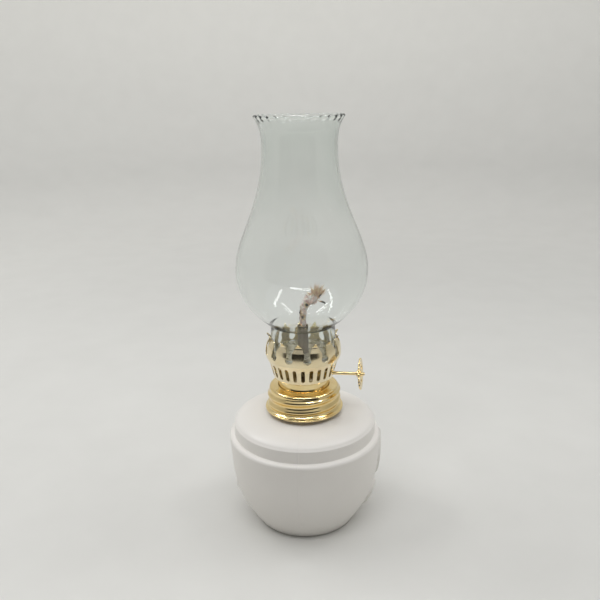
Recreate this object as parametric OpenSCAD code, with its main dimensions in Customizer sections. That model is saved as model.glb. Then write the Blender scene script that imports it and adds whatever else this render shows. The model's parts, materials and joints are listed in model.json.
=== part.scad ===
// Small kerosene lamp: a white glazed reservoir, a burner that screws on its neck,
// a round wick with its winder, and a clear glass chimney held by spring petals.
// Millimetres, +Z up. The origin is the middle of the underside of the reservoir.
// The winder's shaft points along +X, and the plain front of the reservoir faces -Y.

/* [Reservoir] */
// Radius of the flat underside
foot_r = 25.8; // [23:0.1:28]
// Thickness of the floor
floor_t = 4; // [3:0.1:5]
// Radius that the lower curve of the bowl swings out to
belly_r = 36.5; // [33:0.1:38]
// Height at which that curve turns up into the side
belly_z = 17.3; // [13:0.1:22]
// Radius of the bowl at its lip
bowl_r = 37.8; // [36:0.1:42]
// Height of the lip
bowl_h = 46.5; // [42:0.1:54]
// Radius of the raised top plate
plate_r = 35.2; // [30:0.1:35.8]
// Height of the step from the lip up to the plate
step_h = 6.5; // [4:0.1:9]
// Rise of the domed plate from its edge to the neck
plate_rise = 4.2; // [3:0.1:6]
// Thickness of the wall
wall = 3; // [2.2:0.1:4]
// Height of the moulded relief above the bowl
relief_h = 1.6; // [0.8:0.1:2.4]

/* [Neck and screw cap] */
// Outer radius of the neck below its thread
neck_r = 16.2; // [15:0.1:17.5]
// Height of the neck above the plate
neck_h = 12; // [11.2:0.1:15]
// Wall of the neck
neck_wall = 3.3; // [2.4:0.1:3.8]
// Plain neck above the top of the thread
neck_lead = 2.4; // [1.8:0.1:3]
// Rise of the thread in one turn
thread_pitch = 4.5; // [3.8:0.1:5]
// Turns of thread on the neck
thread_turns = 1; // [0.6:0.1:1.1]
// Height of the thread
thread_h = 1.1; // [0.8:0.1:1.2]
// Angle at which the thread starts
thread_start = 200; // [0:5:355]
// Clearance between the neck and the cap
cap_gap = 0.4; // [0.3:0.05:0.6]
// Sheet thickness of the cap and the collar
cap_sheet = 0.5; // [0.4:0.05:0.7]
// Radius of the cap's flared skirt
skirt_r = 19.3; // [18.8:0.1:21]
// Height of the skirt's flare
skirt_h = 2.8; // [2:0.1:3.4]
// Clearance under the skirt, above the neck's foot
skirt_gap = 2; // [1.4:0.1:2.4]
// Rounding of the cap's shoulder
cap_round = 1.5; // [0.8:0.1:2]
// Thickness of the sealing washer
gasket_t = 1.4; // [1:0.1:2]

/* [Burner] */
// Outer radius of the collar between the cap and the basket
collar_r = 12.45; // [11.5:0.05:12.8]
// Height of the collar that shows
collar_h = 5.2; // [4:0.1:7]
// Width of the collar's rolled lips
lip_w = 0.7; // [0.5:0.1:0.9]
// Sheet thickness of the gallery
gallery_sheet = 0.45; // [0.35:0.05:0.6]
// Radius of the basket at its floor
basket_r = 14.9; // [14.2:0.1:15.4]
// Radius at the top of the slotted band
band_r = 16.5; // [16:0.1:17]
// Height of the slotted band above the basket's floor
band_h = 7; // [6:0.1:8]
// Number of petals
petal_count = 13; // [10:1:14]
// Air slots below each petal
slots_per_petal = 2; // [1:1:2]
// Width of an air slot
slot_w = 1.8; // [1.2:0.1:2]
// Height of the lower end of the slots above the basket's floor
slot_low = 1.8; // [1.4:0.1:2.4]
// Height of the upper end of the slots above the basket's floor
slot_high = 8.4; // [7.4:0.1:9]
// Largest radius of the petals
bulge_r = 18.45; // [17.6:0.05:20]
// Height of that radius above the basket's floor
bulge_h = 12.1; // [11:0.1:13]
// Height of the keyholes between the petals above the basket's floor
keyhole_h = 13.9; // [13:0.1:14.6]
// Radius of the keyholes
keyhole_r = 1.9; // [1.3:0.1:2.1]
// Height of the petals' shoulders, where they bend in to the glass, above the basket's floor
shoulder_h = 16.9; // [16.5:0.1:17.5]
// Radius of the petals at their shoulders
shoulder_r = 17.2; // [16.9:0.05:17.6]
// Height of the pinch that grips the glass above the basket's floor
pinch_h = 19.4; // [18.8:0.1:19.8]
// Height of the petals' tips above the basket's floor
tip_h = 21.4; // [20.8:0.1:22.5]
// How far the tips flare out from the pinch
tip_flare = 1.3; // [0.6:0.1:1.6]
// Width of a petal at its keyholes
petal_w = 6; // [5:0.1:6.4]
// Width of a petal at its shoulders
petal_top_w = 5.8; // [4.6:0.1:6]
// Width of a petal at its pinch
petal_pinch_w = 3.5; // [2.6:0.1:3.8]
// Radius of the round tip above a petal's pinch
lobe_r = 0.75; // [0.6:0.05:1]
// Height of the chimney's seat above the basket's floor
seat_h = 11.9; // [10.6:0.1:12.6]
// Clearance between the petals' pinch and the glass
prong_gap = 0.35; // [0.25:0.05:0.6]
// Thickness of the draught plate
draught_t = 0.5; // [0.4:0.1:0.8]

/* [Wick and winder] */
// Radius of the wick
wick_r = 2; // [1.6:0.1:2.4]
// Clearance between the wick and its tube
tube_gap = 0.3; // [0.25:0.05:0.4]
// Wall of the wick tube
tube_t = 0.3; // [0.25:0.05:0.5]
// Height of the tube's top above the chimney's seat
tube_rise = 13.8; // [10:0.1:17]
// How far the tube hangs below the plate that holds it
tube_drop = 9; // [5:0.1:14]
// Height of the plate that holds the tube above the cap
tube_plate_h = 0.8; // [0.6:0.1:1.4]
// Depth of that drawn plate
tube_plate_d = 2.6; // [2:0.1:3.2]
// Height of the wick that shows above its tube
wick_show = 21.6; // [18:0.1:24]
// How far the wick's frayed end reaches to the side
wick_reach = 10.9; // [6:0.1:11.4]
// Height of the wick's lower end above the reservoir's floor
wick_tail = 6.5; // [5.6:0.1:12]
// Height of the shaft above the basket's floor
shaft_rise = 2.8; // [2.6:0.05:3.4]
// Radius of the shaft
shaft_r = 0.8; // [0.7:0.05:0.9]
// Tip radius of the spur wheel
wheel_r = 2.6; // [2.2:0.1:3]
// Thickness of the spur wheel
wheel_w = 1.2; // [0.9:0.1:1.5]
// Number of teeth on the spur wheel
wheel_teeth = 10; // [8:1:14]
// How deep the teeth press into the wick
wheel_bite = 0.6; // [0.4:0.1:0.8]
// Reach of the shaft's end from the lamp's axis
shaft_reach = 30.2; // [28:0.1:36]
// Radius of the knob
knob_r = 7.6; // [5.5:0.1:9]
// Thickness of the knob's sheet
knob_t = 0.7; // [0.5:0.1:1]
// How far the shaft's riveted end stands out of the knob
knob_inset = 2.7; // [1.8:0.1:3.4]
// Scallops round the knob's edge
knob_scallops = 22; // [16:1:30]
// Pierced holes round the knob
knob_holes = 8; // [5:1:10]

/* [Chimney] */
// Radius of the fitter that stands inside the petals
fitter_r = 15.6; // [15:0.05:16.4]
// Height of the fitter
fitter_h = 14.8; // [13:0.1:17]
// Largest radius of the bulb
bulb_r = 31.05; // [27:0.05:35]
// Height of that radius above the seat
bulb_h = 41.3; // [36:0.1:48]
// Radius of the throat
throat_r = 17.1; // [15:0.1:19]
// Height of the throat above the seat
throat_h = 97.8; // [88:0.1:100]
// Radius of the flared rim
rim_r = 20.6; // [18.5:0.1:23]
// Height of the whole chimney
chimney_h = 111.8; // [106:0.1:125]
// Thickness of the glass
glass_t = 1.3; // [1.1:0.1:2]
// Crimps round the rim
crimp_count = 28; // [20:1:36]
// Radius of one crimp
crimp_r = 1; // [0.7:0.1:1.3]

/* [Hidden] */
$fn = 64;

fit_gap = 0.05;
foot_round = 1.2;
lip_round = 1.7;
plate_round = 0.8;
neck_edge = 0.6;
skirt_roll = 0.5;
basket_round = 0.6;
shoulder_round = 0.8;
pinch_round = 0.4;
over = 1;

// Half widths of the neck's thread at its root and its crest, and what they grow by
// for the cap's groove and for the bead that shows outside
ridge_root = 1.05;
ridge_crest = 0.45;
groove_root = ridge_root + 0.45;
groove_crest = ridge_crest + 0.15;
bead_root = ridge_root + 0.7;
bead_crest = ridge_crest + 0.25;
root_sink = 0.3;
thread_fade = 40;

plate_z = bowl_h + step_h;
shoulder_z = plate_z + plate_rise;
neck_top_z = shoulder_z + neck_h;
cap_z = shoulder_z + skirt_gap;
cap_under_z = neck_top_z + gasket_t;
cap_top_z = cap_under_z + cap_sheet;
cap_in_r = neck_r + cap_gap;
cap_r = cap_in_r + cap_sheet;
thread_z = neck_top_z - neck_lead - thread_pitch * thread_turns;
bore_r = neck_r - neck_wall;
collar_in_r = collar_r - cap_sheet;
collar_lip_r = collar_r + lip_w;
basket_z = cap_top_z + collar_h;
basket_top_z = basket_z + gallery_sheet;

seat_z = basket_z + seat_h;
keyhole_z = basket_z + keyhole_h;
pinch_r = fitter_r + prong_gap + gallery_sheet;
petal_step = 360 / petal_count;
slot_step = petal_step / slots_per_petal;

tube_in_r = wick_r + tube_gap;
tube_r = tube_in_r + tube_t;
tube_plate_z = cap_top_z + tube_plate_h;
tube_low_z = tube_plate_z - tube_drop;
tube_top_z = seat_z + tube_rise;

shaft_z = basket_z + shaft_rise;
shaft_y = wick_r - wheel_bite + wheel_r;
tooth_h = 0.9;
wheel_root_r = wheel_r - tooth_h;
side_gap = 0.35;
ear_t = 0.5;
ear_rim = 0.7;
ear_in_x = wheel_w / 2 + side_gap;
ear_out_x = ear_in_x + ear_t;
ear_r = shaft_r + ear_rim;
bearing_gap = 0.05;
shaft_hole_gap = 0.25;
shaft_head_w = 0.3;
shaft_head_r = shaft_r + shaft_head_w;
shaft_head_t = 0.6;
head_gap = 0.2;
window_h = wheel_r + 0.6;
window_w = wheel_w + 2 * side_gap;
knob_x = shaft_reach - knob_inset;
knob_dish = 0.7;
knob_edge = 1;
hub_w = 0.9;
hub_r = shaft_r + hub_w;
hub_l = 2.2;

// The wick's travel below and above its place at rest
wick_down = 5;
wick_up = 8;

// The wick's bend and its swollen, frayed end, as shares of its reach, its height above the tube
// and its radius
wick_route = [[0, 0.14, 0.95], [0, 0.29, 1.02], [0.05, 0.42, 1.05], [0.22, 0.56, 1.15], [0.5, 0.68, 1.4],
              [0.75, 0.79, 1.5], [0.92, 0.91, 1], [1, 1, 0.35]];
wick_straight = 0.23;
wick_sides = 12;

// Moulded leaves: [turn from -Y towards +X, height, length, width, tilt]
leaves = [[86, 14, 14, 8, 72], [103, 31.5, 26, 15, 80], [131, 17, 17, 9, -60], [140, 33, 17, 9, 60],
          [165, 20, 17, 9, -64], [174, 35, 18, 9, 58], [198, 17, 17, 9, -66], [207, 33, 17, 9, 62],
          [232, 20, 17, 9, -60], [238, 35, 15, 8, 66], [276, 12.5, 14, 8, 60]];

// Points of a cubic curve from a to d, with handles b and c
function curve(a, b, c, d, n) =
    [for (i = [0 : n]) let (t = i / n, s = 1 - t) s^3 * a + 3 * s^2 * t * b + 3 * s * t^2 * c + t^3 * d];

// Points of an arc of radius r round c, from angle a to angle b
function arc(c, r, a, b, n = 4) =
    [for (i = [0 : n]) let (t = a + (b - a) * i / n) c + r * [cos(t), sin(t)]];

function reversed(p) = [for (i = [len(p) - 1 : -1 : 0]) p[i]];
function moved(p, v) = [for (q = p) q + v];

// Radius of an outline of [r, z] points at height z
function radius_at(p, z) = lookup(z, [for (q = p) [q[1], q[0]]]);

// Outer side of the bowl from its foot to its lip
bowl_side = curve([foot_r, foot_round], [belly_r, belly_z], [belly_r, belly_z + 5],
                  [bowl_r, bowl_h - lip_round], 9);
plate_top = curve([plate_r - plate_round, plate_z], [plate_r - 1.8, plate_z + plate_rise * 0.6],
                  [neck_r + 11.8, shoulder_z - plate_rise * 0.14], [neck_r, shoulder_z], 6);

// Outside of the gallery, from its floor to the petals' tips
gallery_side = concat(
    [[basket_r - basket_round, basket_z], [basket_r, basket_z + basket_round]],
    curve([band_r, basket_z + band_h], [band_r + 0.8, basket_z + band_h + 2],
          [bulge_r, basket_z + bulge_h - 2], [bulge_r, basket_z + bulge_h], 3),
    curve([bulge_r, basket_z + bulge_h + 0.4], [bulge_r, basket_z + bulge_h + 1.8],
          [shoulder_r + 0.5, basket_z + shoulder_h - 1.6], [shoulder_r, basket_z + shoulder_h], 3),
    [[pinch_r, basket_z + pinch_h], [pinch_r + tip_flare * 0.3, basket_z + (pinch_h + tip_h) / 2],
     [pinch_r + tip_flare, basket_z + tip_h]]);

// Outside of the chimney from its seat to its rim
fitter_top = [fitter_r, seat_z + fitter_h];
bulb_side = [bulb_r, seat_z + bulb_h];
throat_side = [throat_r, seat_z + throat_h];
rim_edge = [rim_r, seat_z + chimney_h - crimp_r * 0.5];
bulb_low = bulb_h - fitter_h;
bulb_high = throat_h - bulb_h;
throat_rise = chimney_h - throat_h;
chimney_side = concat(
    [[fitter_r, seat_z]],
    curve(fitter_top, fitter_top + [7.2, bulb_low * 0.195], bulb_side - [0, bulb_low * 0.5], bulb_side, 12),
    curve(bulb_side + [0, 0.4], bulb_side + [0, bulb_high * 0.29], throat_side - [0, bulb_high * 0.46],
          throat_side, 14),
    curve(throat_side + [0, 0.4], throat_side + [0, throat_rise * 0.37],
          rim_edge - [3, throat_rise * 0.25], rim_edge, 7));

// A ridge or a groove along the cap's thread, from angle a0 to angle a1. It fades at both ends.
module thread(r_root, r_tip, w_root, w_tip, a0, a1) {
    step = 9;
    least = 0.2;
    n = ceil((a1 - a0) / step);
    points = [for (i = [0 : n])
        let (a = a0 + (a1 - a0) * i / n,
             grow = min(1, least + (a - a0) / thread_fade, least + (a1 - a) / thread_fade),
             tip = r_root + (r_tip - r_root) * grow,
             z = thread_z + thread_pitch * a / 360)
        for (q = [[r_root, -w_root], [tip, -w_tip], [tip, w_tip], [r_root, w_root]])
            [q[0] * cos(thread_start + a), q[0] * sin(thread_start + a), z + q[1]]];
    sides = [for (i = [0 : n - 1], k = [0 : 3])
        let (p = 4 * i + k, q = 4 * i + (k + 1) % 4)
        for (f = [[p, q + 4, p + 4], [p, q, q + 4]]) f];
    last = 4 * n;
    ends = [[0, 2, 1], [0, 3, 2], [last, last + 1, last + 2], [last, last + 2, last + 3]];
    polyhedron(points, concat(sides, ends));
}

// Turns its children from -Y by an angle towards +X, and stands them on a radius
// so that their x runs round the lamp, their y is up and their z points outwards
module on_side(turn, r, z) {
    rotate([0, 0, turn]) translate([0, -r, z]) rotate([90, 0, 0]) children();
}

// Runs its children along the shaft: their z is the lamp's +X
module on_shaft(x) {
    translate([x, -shaft_y, shaft_z]) rotate([0, 90, 0]) children();
}

module leaf(spot) {
    length = spot[2];
    width = spot[3];
    bow_r = (length * length + width * width) / (4 * width);
    bow = asin(length / 2 / bow_r);
    near = arc([0, bow_r - width / 2], bow_r, -90 - bow, -90 + bow, 5);
    far = arc([0, width / 2 - bow_r], bow_r, 90 - bow, 90 + bow, 5);
    outline = concat(near, [for (i = [1 : len(far) - 2]) far[i]]);
    on_side(spot[0], radius_at(bowl_side, spot[1]), spot[1]) rotate([0, 0, spot[4]])
        linear_extrude(4 * wall, center = true) polygon(outline);
}

module relief() {
    intersection() {
        rotate_extrude() polygon(concat([[0, foot_round]], moved(bowl_side, [relief_h, 0]),
                                        [[0, bowl_h - lip_round]]));
        union() for (spot = leaves) leaf(spot);
    }
}

module reservoir() {
    outside = concat(
        [[0, 0]],
        arc([foot_r - foot_round, foot_round], foot_round, -90, -18), bowl_side,
        arc([bowl_r - lip_round, bowl_h - lip_round], lip_round, 15, 90),
        [[plate_r, bowl_h]],
        arc([plate_r - plate_round, plate_z - plate_round], plate_round, 0, 75), plate_top,
        [[neck_r, neck_top_z - neck_edge], [neck_r - neck_edge, neck_top_z], [0, neck_top_z]]);
    side_in = moved(curve([foot_r - 1, floor_t], [belly_r, belly_z + 1.5], [belly_r, belly_z + 6],
                          [plate_r, bowl_h + plate_round], 8), [-wall, 0]);
    inside = concat(
        [[0, floor_t]], side_in,
        curve([plate_r - wall - 1.5, plate_z - wall], [plate_r - 6, plate_z - wall + plate_rise * 0.5],
              [neck_r + 8, shoulder_z - wall - plate_rise * 0.1], [bore_r + 0.8, shoulder_z - wall], 5),
        [[bore_r, shoulder_z - wall + 0.8], [bore_r, neck_top_z + over], [0, neck_top_z + over]]);
    ridge_end = 360 * thread_turns;
    color("ivory") difference() {
        union() {
            rotate_extrude() polygon(outside);
            relief();
            thread(neck_r - root_sink, neck_r + thread_h, ridge_root, ridge_crest, 0, ridge_end);
        }
        rotate_extrude() polygon(inside);
    }
}

module ring(r_out, r_in, z, h) {
    translate([0, 0, z]) difference() {
        cylinder(h, r = r_out);
        translate([0, 0, -over]) cylinder(h + 2 * over, r = r_in);
    }
}

module neck_gasket() {
    color("dimgray") ring(neck_r - neck_edge, collar_lip_r + 0.3, neck_top_z, gasket_t);
}

module screw_cap() {
    flare_z = cap_z + skirt_h;
    groove_r = neck_r + thread_h + cap_gap;
    groove_end = 360 * thread_turns + thread_fade;
    bead_start = -360 * (thread_z - cap_z - skirt_roll * 2) / thread_pitch;
    groove_start = bead_start - 190;
    bead_end = groove_end + 15;
    skirt = curve([skirt_r, cap_z + 2 * skirt_roll], [cap_r + 1, cap_z + 2 * skirt_roll + 0.2],
                  [cap_r, flare_z - 0.8], [cap_r, flare_z], 4);
    outside = concat([[0, cap_z], [skirt_r - skirt_roll, cap_z], [skirt_r, cap_z + skirt_roll]], skirt,
                     arc([cap_r - cap_round, cap_top_z - cap_round], cap_round, 0, 90), [[0, cap_top_z]]);
    inside = concat([[0, cap_z - over], [skirt_r - cap_sheet, cap_z - over]],
                    moved(skirt, [-cap_sheet, -0.2]), [[cap_in_r, cap_under_z], [0, cap_under_z]]);
    color("gold") difference() {
        union() {
            rotate_extrude() polygon(outside);
            thread(cap_r - root_sink, groove_r + cap_sheet, bead_root, bead_crest, bead_start, bead_end);
        }
        rotate_extrude() polygon(inside);
        thread(cap_in_r - root_sink, groove_r, groove_root, groove_crest, groove_start, groove_end);
        translate([0, 0, cap_under_z - over]) cylinder(cap_sheet + 2 * over, r = collar_r + fit_gap);
    }
}

module burner_collar() {
    low_z = cap_under_z - cap_sheet;
    high_z = basket_top_z + cap_sheet;
    color("gold") difference() {
        union() {
            translate([0, 0, low_z]) cylinder(high_z - low_z, r = collar_r);
            translate([0, 0, low_z]) cylinder(cap_sheet, r = collar_lip_r);
            translate([0, 0, basket_top_z]) cylinder(cap_sheet, r = collar_lip_r);
        }
        translate([0, 0, low_z - over]) cylinder(high_z - low_z + 2 * over, r = collar_in_r);
    }
}

module tube_plate() {
    vent_r = 0.6;
    vents = 6;
    vent_ring = (tube_r + collar_in_r) / 2;
    plate_out_r = collar_in_r - fit_gap;
    color("darkgoldenrod") difference() {
        translate([0, 0, tube_plate_z]) cylinder(tube_plate_d, r = plate_out_r);
        translate([0, 0, tube_plate_z + cap_sheet]) cylinder(tube_plate_d, r = plate_out_r - cap_sheet);
        translate([0, 0, tube_plate_z - over]) cylinder(cap_sheet + 2 * over, r = tube_r + fit_gap);
        for (i = [0 : vents - 1]) rotate([0, 0, i * 360 / vents])
            translate([vent_ring, 0, tube_plate_z - over]) cylinder(cap_sheet + 2 * over, r = vent_r);
    }
}

// Right half of the gap between two petals, from its keyhole up past their shoulders, the corners at
// their pinch and their round tips.
// Its x is measured from the middle of the gap, its y from the keyhole's centre.
function gap_half() =
    let (reach = sin(petal_step / 2),
         side_x = bulge_r * reach - petal_w / 2,
         shoulder_x = shoulder_r * reach - petal_top_w / 2,
         pinch_x = pinch_r * reach - petal_pinch_w / 2,
         shoulder = [shoulder_x + shoulder_round, shoulder_h - keyhole_h],
         corner = [pinch_x + pinch_round, pinch_h - keyhole_h],
         tip = [pinch_r * reach, tip_h - keyhole_h - lobe_r])
    concat(arc([0, 0], keyhole_r, -90, 40, 5), [[side_x, keyhole_r]],
           arc(shoulder, shoulder_round, 180, 150, 2), arc(corner, pinch_round, 160, 90, 2),
           arc(tip, lobe_r, 190, 90, 4), [[tip[0], tip[1] + lobe_r + over]]);

function mirrored(p) = [for (i = [len(p) - 1 : -1 : 1]) [-p[i][0], p[i][1]]];

function slot_outline(low, high) =
    concat(arc([0, low + slot_w / 2], slot_w / 2, 180, 360, 5),
           arc([0, high - slot_w / 2], slot_w / 2, 0, 180, 5));

module gallery() {
    wall_in = [for (i = [2 : len(gallery_side) - 1]) gallery_side[i] - [gallery_sheet, 0]];
    shell = concat([[collar_r + fit_gap, basket_z]], gallery_side, reversed(wall_in),
                   [[basket_r - basket_round, basket_top_z], [collar_r + fit_gap, basket_top_z]]);
    shaft_side_r = radius_at(gallery_side, shaft_z);
    shaft_turn = atan2(sqrt(shaft_side_r^2 - shaft_y^2), shaft_y);
    shaft_room = (slot_w / 2 + shaft_r + shaft_hole_gap + gallery_sheet) / basket_r * 180 / PI;
    gap = concat(gap_half(), mirrored(gap_half()));
    gap_from_r = fitter_r - prong_gap;
    cut_to_r = bulge_r + over;
    color("khaki") difference() {
        rotate_extrude() polygon(shell);
        for (i = [0 : petal_count - 1]) on_side((i + 0.5) * petal_step, gap_from_r, keyhole_z)
            linear_extrude(cut_to_r - gap_from_r) polygon(gap);
        for (i = [0 : petal_count * slots_per_petal - 1]) {
            turn = (i + 0.5) * slot_step;
            low = abs(turn - shaft_turn) < shaft_room ? shaft_rise + 2 * shaft_r : slot_low;
            on_side(turn, collar_r, basket_z) linear_extrude(cut_to_r - collar_r)
                polygon(slot_outline(low, slot_high));
        }
        on_shaft(0) cylinder(cut_to_r, r = shaft_r + shaft_hole_gap);
    }
}

module draught_plate() {
    low_z = seat_z - draught_t;
    rim_gap = 0.15;
    out_r = radius_at(gallery_side, low_z) - gallery_sheet - rim_gap;
    inner_holes = 8;
    outer_holes = 16;
    hole_r = 0.9;
    inner_ring = tube_r + 4 * hole_r;
    outer_ring = fitter_r - glass_t - 3 * hole_r;
    color("darkgoldenrod") difference() {
        ring(out_r, tube_r + tube_gap, low_z, draught_t);
        for (i = [0 : inner_holes - 1]) rotate([0, 0, i * 360 / inner_holes])
            translate([inner_ring, 0, low_z - over]) cylinder(draught_t + 2 * over, r = hole_r);
        for (i = [0 : outer_holes - 1]) rotate([0, 0, (i + 0.5) * 360 / outer_holes])
            translate([outer_ring, 0, low_z - over]) cylinder(draught_t + 2 * over, r = hole_r);
    }
}

module wick_tube() {
    color("darkkhaki") difference() {
        translate([0, 0, tube_low_z]) cylinder(tube_top_z - tube_low_z, r = tube_r);
        translate([0, 0, tube_low_z - over]) cylinder(tube_top_z - tube_low_z + 2 * over, r = tube_in_r);
        translate([-window_w / 2, -tube_r - over, shaft_z - window_h])
            cube([window_w, tube_r + over, 2 * window_h]);
    }
}

module winder_bracket() {
    band_out_r = tube_r + fit_gap + ear_t;
    color("darkkhaki") difference() {
        union() {
            translate([0, 0, shaft_z - ear_r]) cylinder(2 * ear_r, r = band_out_r);
            for (x = [-ear_out_x, ear_in_x]) {
                on_shaft(x) cylinder(ear_t, r = ear_r);
                translate([x, -shaft_y, shaft_z - ear_r]) cube([ear_t, shaft_y, 2 * ear_r]);
            }
        }
        translate([0, 0, shaft_z - ear_r - over]) cylinder(2 * ear_r + 2 * over, r = tube_r + fit_gap);
        translate([-ear_in_x, -shaft_y - ear_r - over, shaft_z - ear_r - over])
            cube([2 * ear_in_x, shaft_y + ear_r + over, 2 * ear_r + 2 * over]);
        on_shaft(-ear_out_x - over) cylinder(2 * ear_out_x + 2 * over, r = shaft_r + bearing_gap);
    }
}

module winder_shaft() {
    head_x = ear_out_x + head_gap;
    color("goldenrod") {
        on_shaft(-head_x) cylinder(shaft_reach + head_x, r = shaft_r);
        on_shaft(-head_x - shaft_head_t) cylinder(shaft_head_t, r = shaft_head_r);
        on_shaft(head_x) cylinder(shaft_head_t, r = shaft_head_r);
    }
}

module spur_wheel() {
    tooth = 360 / wheel_teeth;
    outline = [for (i = [0 : wheel_teeth - 1], c = [[-0.3, wheel_root_r], [-0.08, wheel_r], [0.08, wheel_r],
                                                    [0.3, wheel_root_r]])
        c[1] * [cos((i + c[0]) * tooth), sin((i + c[0]) * tooth)]];
    color("darkgoldenrod") on_shaft(-wheel_w / 2) linear_extrude(wheel_w) difference() {
        polygon(outline);
        circle(shaft_r);
    }
}

module winder_knob() {
    scallop_r = knob_r * sin(180 / knob_scallops) * 0.7;
    hole_r = knob_r * 0.1;
    half = knob_t / 2;
    dish_r = knob_r - knob_edge;
    profile = [[shaft_r, -hub_l / 2], [hub_r, -hub_l / 2], [hub_r, -half], [dish_r, knob_dish - half],
               [knob_r, knob_dish - half], [knob_r, knob_dish + half], [dish_r, knob_dish + half],
               [hub_r, half], [hub_r, hub_l / 2], [shaft_r, hub_l / 2]];
    color("gold") on_shaft(knob_x) difference() {
        rotate_extrude() polygon(profile);
        for (i = [0 : knob_scallops - 1]) rotate([0, 0, i * 360 / knob_scallops])
            translate([knob_r + scallop_r * 0.5, 0, -over]) cylinder(2 * over + hub_l, r = scallop_r);
        for (i = [0 : knob_holes - 1]) rotate([0, 0, (i + 0.5) * 360 / knob_holes])
            translate([knob_r * 0.62, 0, -hub_l]) cylinder(2 * hub_l, r = hole_r);
    }
}

// A tube of changing radius along points [x, z, r] in the XZ plane
module swept(route, sides) {
    n = len(route);
    points = [for (i = [0 : n - 1])
        let (ahead = route[min(i + 1, n - 1)] - route[max(i - 1, 0)],
             slope = atan2(ahead[0], ahead[1]), r = route[i][2])
        for (k = [0 : sides - 1]) let (a = k * 360 / sides)
            [route[i][0] + r * cos(a) * cos(slope), r * sin(a), route[i][1] - r * cos(a) * sin(slope)]];
    walls = [for (i = [0 : n - 2], k = [0 : sides - 1])
        let (p = i * sides + k, q = i * sides + (k + 1) % sides)
        for (f = [[p, p + sides, q + sides], [p, q + sides, q]]) f];
    last = (n - 1) * sides;
    caps = [for (k = [1 : sides - 2]) for (f = [[0, k, k + 1], [last, last + k + 1, last + k]]) f];
    polyhedron(points, concat(walls, caps));
}

module wick() {
    tail_z = floor_t + wick_tail;
    straight_z = tube_top_z + wick_straight * wick_show;
    route = [for (p = wick_route) [p[0] * wick_reach, tube_top_z + p[1] * wick_show, p[2] * wick_r]];
    groove_low = shaft_z - wheel_r - wick_up - side_gap;
    groove_high = shaft_z + wheel_r + wick_down + side_gap;
    groove_y = shaft_y - wheel_r - tube_gap;
    color("tan") difference() {
        union() {
            translate([0, 0, tail_z]) cylinder(straight_z - tail_z, r = wick_r);
            swept(route, wick_sides);
        }
        translate([-window_w / 2, -wick_r - over, groove_low])
            cube([window_w, wick_r + over - groove_y, groove_high - groove_low]);
    }
}

module chimney() {
    top = seat_z + chimney_h - crimp_r;
    inner = moved(reversed(chimney_side), [-glass_t, 0]);
    color("lightcyan", 0.4) {
        rotate_extrude() polygon(concat(chimney_side, inner));
        for (i = [0 : crimp_count - 1]) rotate([0, 0, i * 360 / crimp_count])
            translate([rim_r - crimp_r * 0.7, 0, top]) sphere(crimp_r, $fn = 24);
    }
}

reservoir();
neck_gasket();
screw_cap();
burner_collar();
tube_plate();
gallery();
draught_plate();
wick_tube();
winder_bracket();
winder_shaft();
spur_wheel();
winder_knob();
wick();
chimney();
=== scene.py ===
# %% [markdown]
# # A small kerosene lamp
# The lamp has a white glazed bowl, a brass burner that screws on its neck, a braided wick with a
# winding knob, and a clear glass chimney that stands inside the burner's petals. The solid model
# comes first and stays where it is, because it says how big each part is and what moves. Each cell
# after that gives one part its finished surface. Sizes are in millimetres until a mesh is made.

# %% Load the solid model
import json
import math
import random

import bmesh
import bpy
import numpy as np
from mathutils import Matrix, Vector, noise
from mathutils.geometry import interpolate_bezier

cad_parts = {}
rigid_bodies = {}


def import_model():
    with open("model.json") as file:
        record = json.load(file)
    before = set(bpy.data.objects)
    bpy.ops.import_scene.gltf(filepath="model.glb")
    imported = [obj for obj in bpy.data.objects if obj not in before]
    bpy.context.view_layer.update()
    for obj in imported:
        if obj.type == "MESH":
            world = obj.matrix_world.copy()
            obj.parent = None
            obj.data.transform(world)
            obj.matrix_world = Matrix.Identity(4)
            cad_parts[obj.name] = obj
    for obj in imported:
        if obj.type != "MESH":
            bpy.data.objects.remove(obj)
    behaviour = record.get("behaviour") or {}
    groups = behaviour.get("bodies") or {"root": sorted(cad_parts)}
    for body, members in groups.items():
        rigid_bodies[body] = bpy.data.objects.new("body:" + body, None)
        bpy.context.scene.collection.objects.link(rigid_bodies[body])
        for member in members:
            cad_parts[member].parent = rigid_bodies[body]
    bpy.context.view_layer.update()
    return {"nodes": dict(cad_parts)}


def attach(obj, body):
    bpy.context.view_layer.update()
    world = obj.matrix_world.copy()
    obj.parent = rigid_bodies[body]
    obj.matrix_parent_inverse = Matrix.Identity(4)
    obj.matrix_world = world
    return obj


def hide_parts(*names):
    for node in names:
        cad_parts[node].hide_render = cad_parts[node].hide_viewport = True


for leftover in list(bpy.data.objects):
    bpy.data.objects.remove(leftover)

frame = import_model()
nodes = frame["nodes"]
mm = 0.001
print("parts:", sorted(nodes))

# %% [markdown]
# ## Helpers for turned parts
# Most of this lamp is round, as it was cast, spun or blown round one axis. Such a part is drawn as
# one line of [radius, height] points and spun a full turn. A soft bend in that line is a Bezier
# curve, and a hard corner is a short arc, because a real edge always has a small radius that catches
# the light.

# %% Curves, arcs and the lathe
weld = 0.001 * mm


def bezier(start, handle_a, handle_b, end, count):
    points = interpolate_bezier(Vector(start), Vector(handle_a), Vector(handle_b), Vector(end), count)
    return [(p.x, p.y) for p in points]


def arc(centre, radius, start, end, count=6):
    angles = np.radians(np.linspace(start, end, count))
    return [(centre[0] + radius * math.cos(a), centre[1] + radius * math.sin(a)) for a in angles]


def line(start, end, count):
    return [tuple(p) for p in np.linspace(start, end, count)]


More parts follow.
